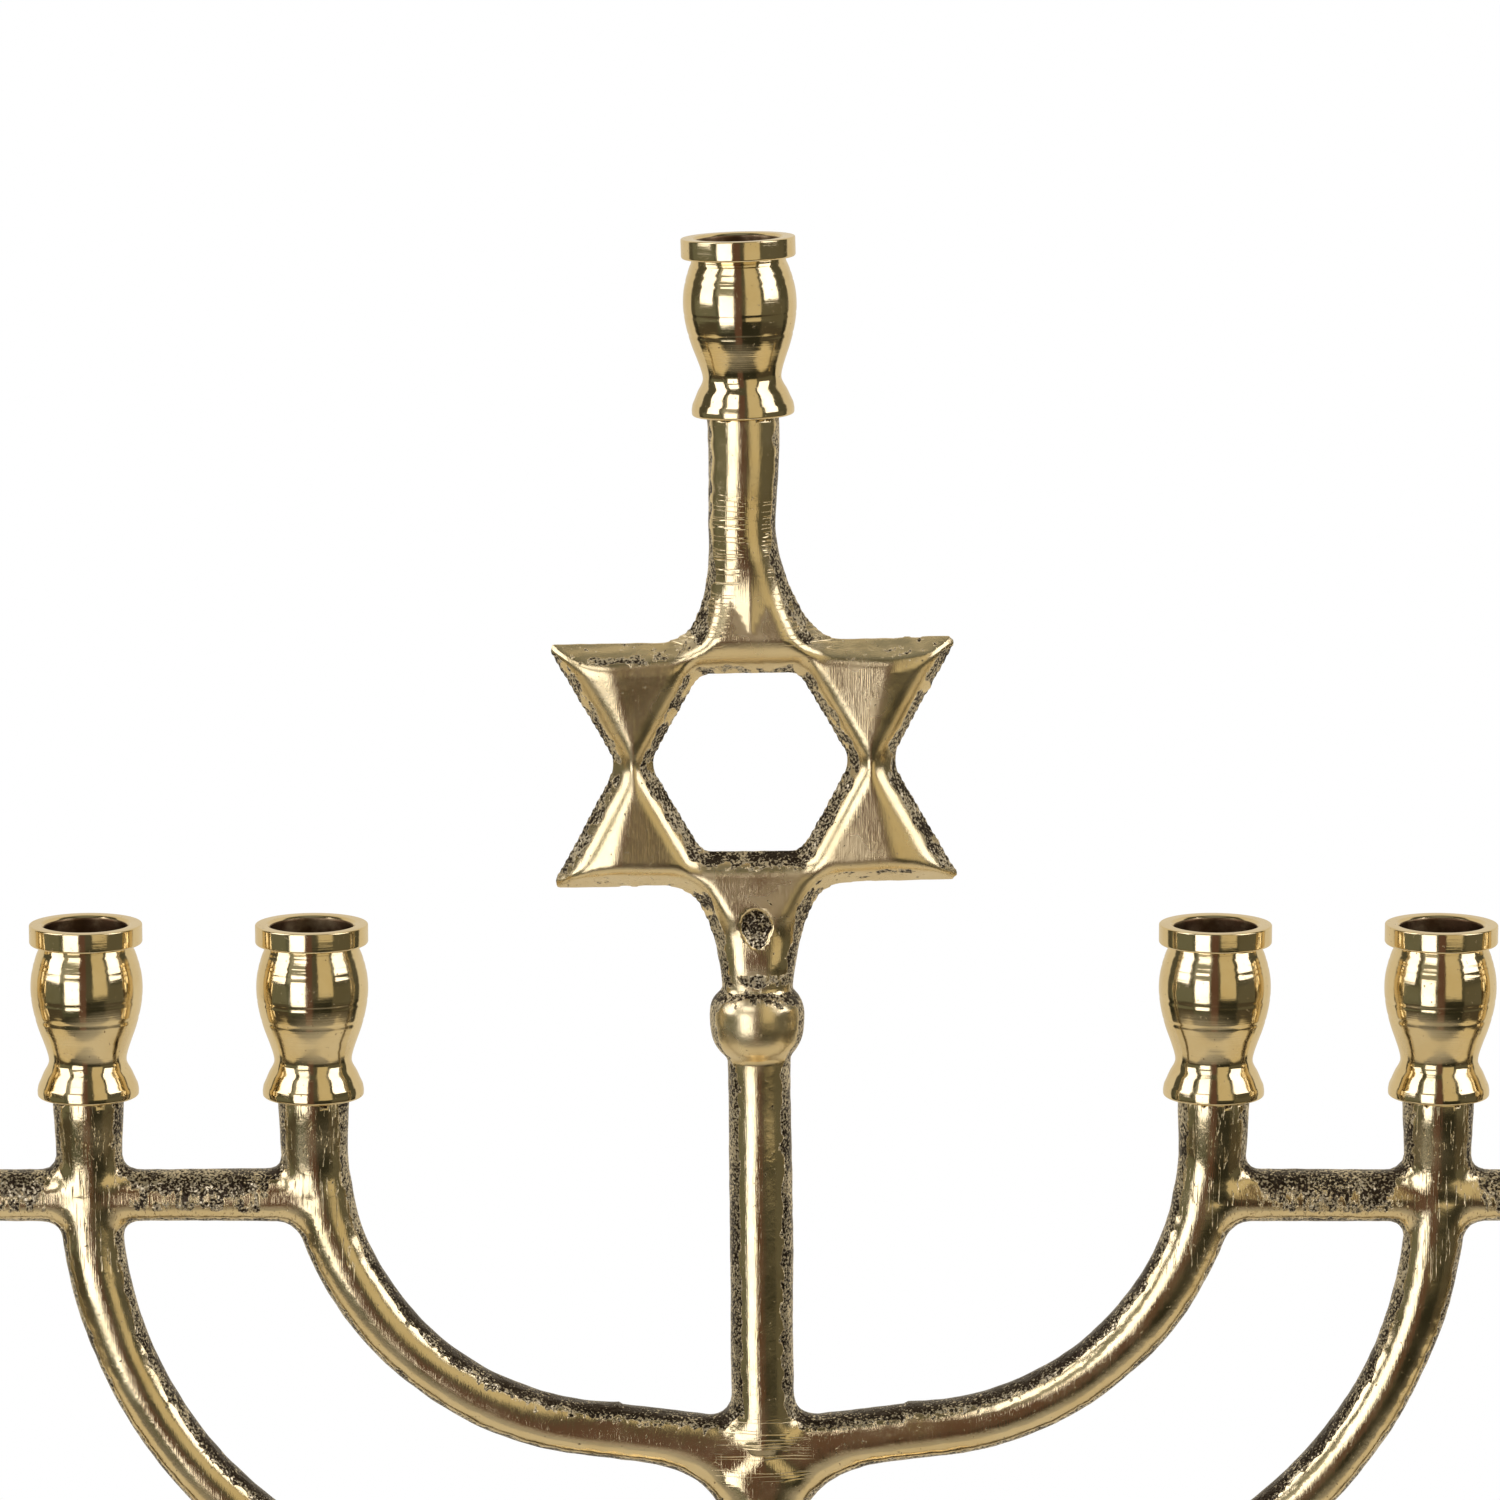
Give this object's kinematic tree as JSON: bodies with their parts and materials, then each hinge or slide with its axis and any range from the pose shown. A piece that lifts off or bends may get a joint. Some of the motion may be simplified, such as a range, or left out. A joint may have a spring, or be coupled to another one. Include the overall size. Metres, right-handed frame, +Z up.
{
  "type": "branched candlestick",
  "caption": "Flat cast brass menorah: curved arms joined by a crossbar, a six-pointed star under a raised centre light, screw-on candle cups and a felted round foot.",
  "frame": {"origin": "on the table, under the column's axis", "axes": "+Z up, +X along the row of lights, -Y towards the viewer"},
  "size_m": [0.2982, 0.112, 0.3088],
  "materials": {
    "cast_brass": "sand cast, faces buffed to a mirror, sides left rough",
    "turned_brass": "turned and polished",
    "brass_rod": "threaded rod, unpolished",
    "plated_steel": "zinc plated",
    "felt": "pressed wool felt"
  },
  "bodies": {
    "stand": {"branch_casting": "cast_brass", "baluster": "turned_brass", "base_foot": "turned_brass", "felt_ring": "felt", "tie_rod": "plated_steel", "washer": "plated_steel", "nut": "plated_steel", "shamash_stud": "brass_rod", "left_1_stud": "brass_rod", "right_1_stud": "brass_rod", "left_2_stud": "brass_rod", "right_2_stud": "brass_rod", "left_3_stud": "brass_rod", "right_3_stud": "brass_rod", "left_4_stud": "brass_rod", "right_4_stud": "brass_rod"},
    "shamash": {"shamash_cup": "turned_brass"},
    "left_1": {"left_1_cup": "turned_brass"},
    "right_1": {"right_1_cup": "turned_brass"},
    "left_2": {"left_2_cup": "turned_brass"},
    "right_2": {"right_2_cup": "turned_brass"},
    "left_3": {"left_3_cup": "turned_brass"},
    "right_3": {"right_3_cup": "turned_brass"},
    "left_4": {"left_4_cup": "turned_brass"},
    "right_4": {"right_4_cup": "turned_brass"}
  },
  "joints": [
    {"name": "shamash_unscrew", "type": "slide", "parent": "stand", "child": "shamash", "axis": [-0.0305, 0, 0.9995], "range_m": [0, 0.01]},
    {"name": "left_1_unscrew", "type": "slide", "parent": "stand", "child": "left_1", "axis": [0, 0, 1], "range_m": [0, 0.01]},
    {"name": "right_1_unscrew", "type": "slide", "parent": "stand", "child": "right_1", "axis": [0, 0, 1], "range_m": [0, 0.01]},
    {"name": "left_2_unscrew", "type": "slide", "parent": "stand", "child": "left_2", "axis": [0, 0, 1], "range_m": [0, 0.01]},
    {"name": "right_2_unscrew", "type": "slide", "parent": "stand", "child": "right_2", "axis": [0, 0, 1], "range_m": [0, 0.01]},
    {"name": "left_3_unscrew", "type": "slide", "parent": "stand", "child": "left_3", "axis": [0, 0, 1], "range_m": [0, 0.01]},
    {"name": "right_3_unscrew", "type": "slide", "parent": "stand", "child": "right_3", "axis": [0, 0, 1], "range_m": [0, 0.01]},
    {"name": "left_4_unscrew", "type": "slide", "parent": "stand", "child": "left_4", "axis": [0, 0, 1], "range_m": [0, 0.01]},
    {"name": "right_4_unscrew", "type": "slide", "parent": "stand", "child": "right_4", "axis": [0, 0, 1], "range_m": [0, 0.01]}
  ]
}
